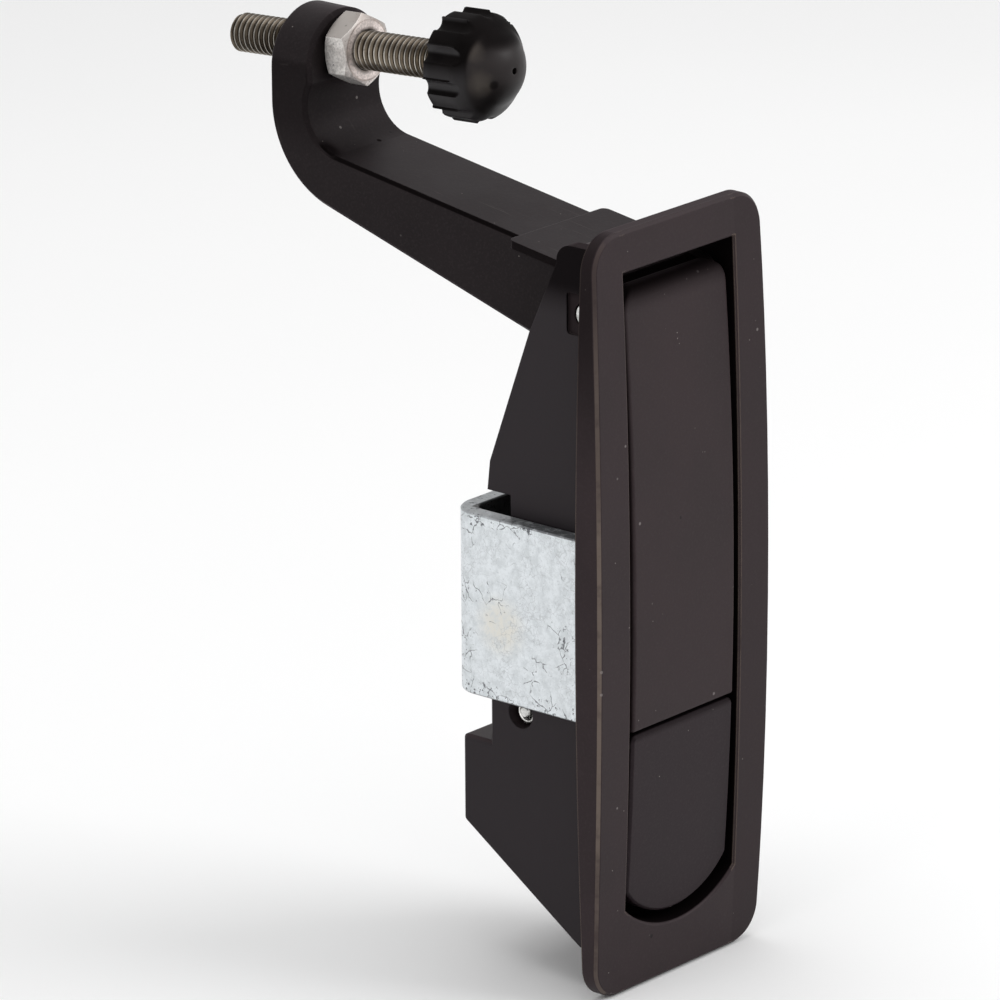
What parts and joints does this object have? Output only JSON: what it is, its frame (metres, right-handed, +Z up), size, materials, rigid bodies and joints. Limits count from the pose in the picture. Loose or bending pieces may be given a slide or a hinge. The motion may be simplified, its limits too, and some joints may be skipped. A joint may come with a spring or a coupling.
{
  "type": "compression latch",
  "caption": "Flush trigger-release compression latch: crowned flange, paddle handle, gooseneck arm with an adjustable rubber bumper, and a rear clamp strap.",
  "frame": {"origin": "middle of the flange's rear face, which seats on the front of the panel", "axes": "+X to the right seen from the front, +Y into the cabinet, +Z up"},
  "size_m": [0.0412, 0.0875, 0.1407],
  "materials": {
    "black_powder_coat": "satin",
    "stainless_steel": "satin",
    "spring_steel": "satin",
    "zinc_plated_steel": "satin",
    "black_rubber": "matte"
  },
  "bodies": {
    "frame": {"housing": "black_powder_coat", "lever_pivot_pin": "stainless_steel", "trigger_pivot_pin": "stainless_steel", "lever_spring": "spring_steel", "trigger_spring": "spring_steel"},
    "lever": {"handle": "black_powder_coat", "gooseneck_arm": "black_powder_coat", "arm_roll_pin": "spring_steel"},
    "trigger": {"trigger": "black_powder_coat"},
    "strap": {"mounting_strap": "zinc_plated_steel"},
    "strap_screw": {"strap_screw": "zinc_plated_steel", "strap_lock_washer": "zinc_plated_steel"},
    "stud": {"threaded_stud": "stainless_steel", "rubber_bumper": "black_rubber"},
    "lock_nut": {"lock_nut": "stainless_steel"}
  },
  "joints": [
    {"name": "lever_swing", "type": "hinge", "parent": "frame", "child": "lever", "pos_m": [0, 0.0029, 0.0454], "axis": [-1, 0, 0], "range_deg": [0, 50], "deforming": ["lever_spring"]},
    {"name": "trigger_press", "type": "hinge", "parent": "frame", "child": "trigger", "pos_m": [0, 0.0152, -0.018], "axis": [1, 0, 0], "range_deg": [0, 4.8], "stiffness_Nm_per_rad": 0.5, "springref_deg": -5.73, "deforming": ["trigger_spring"]},
    {"name": "strap_clamp", "type": "slide", "parent": "frame", "child": "strap", "axis": [0, 1, 0], "range_m": [-0.002, 0.005]},
    {"name": "strap_screw_turn", "type": "hinge", "parent": "strap", "child": "strap_screw", "pos_m": [0, 0.026, -0.00165], "axis": [0, 1, 0], "range_deg": [-901, 2251]},
    {"name": "stud_adjust", "type": "slide", "parent": "lever", "child": "stud", "axis": [0, -0.9985, 0.0541], "range_m": [-0.01, 0.012]},
    {"name": "lock_nut_travel", "type": "slide", "parent": "lever", "child": "lock_nut", "axis": [0, -0.9985, 0.0541], "range_m": [0, 0.006]}
  ],
  "couplings": [
    {"joint": "strap_screw_turn", "follows": "strap_clamp", "rad_per_m": 7854}
  ]
}
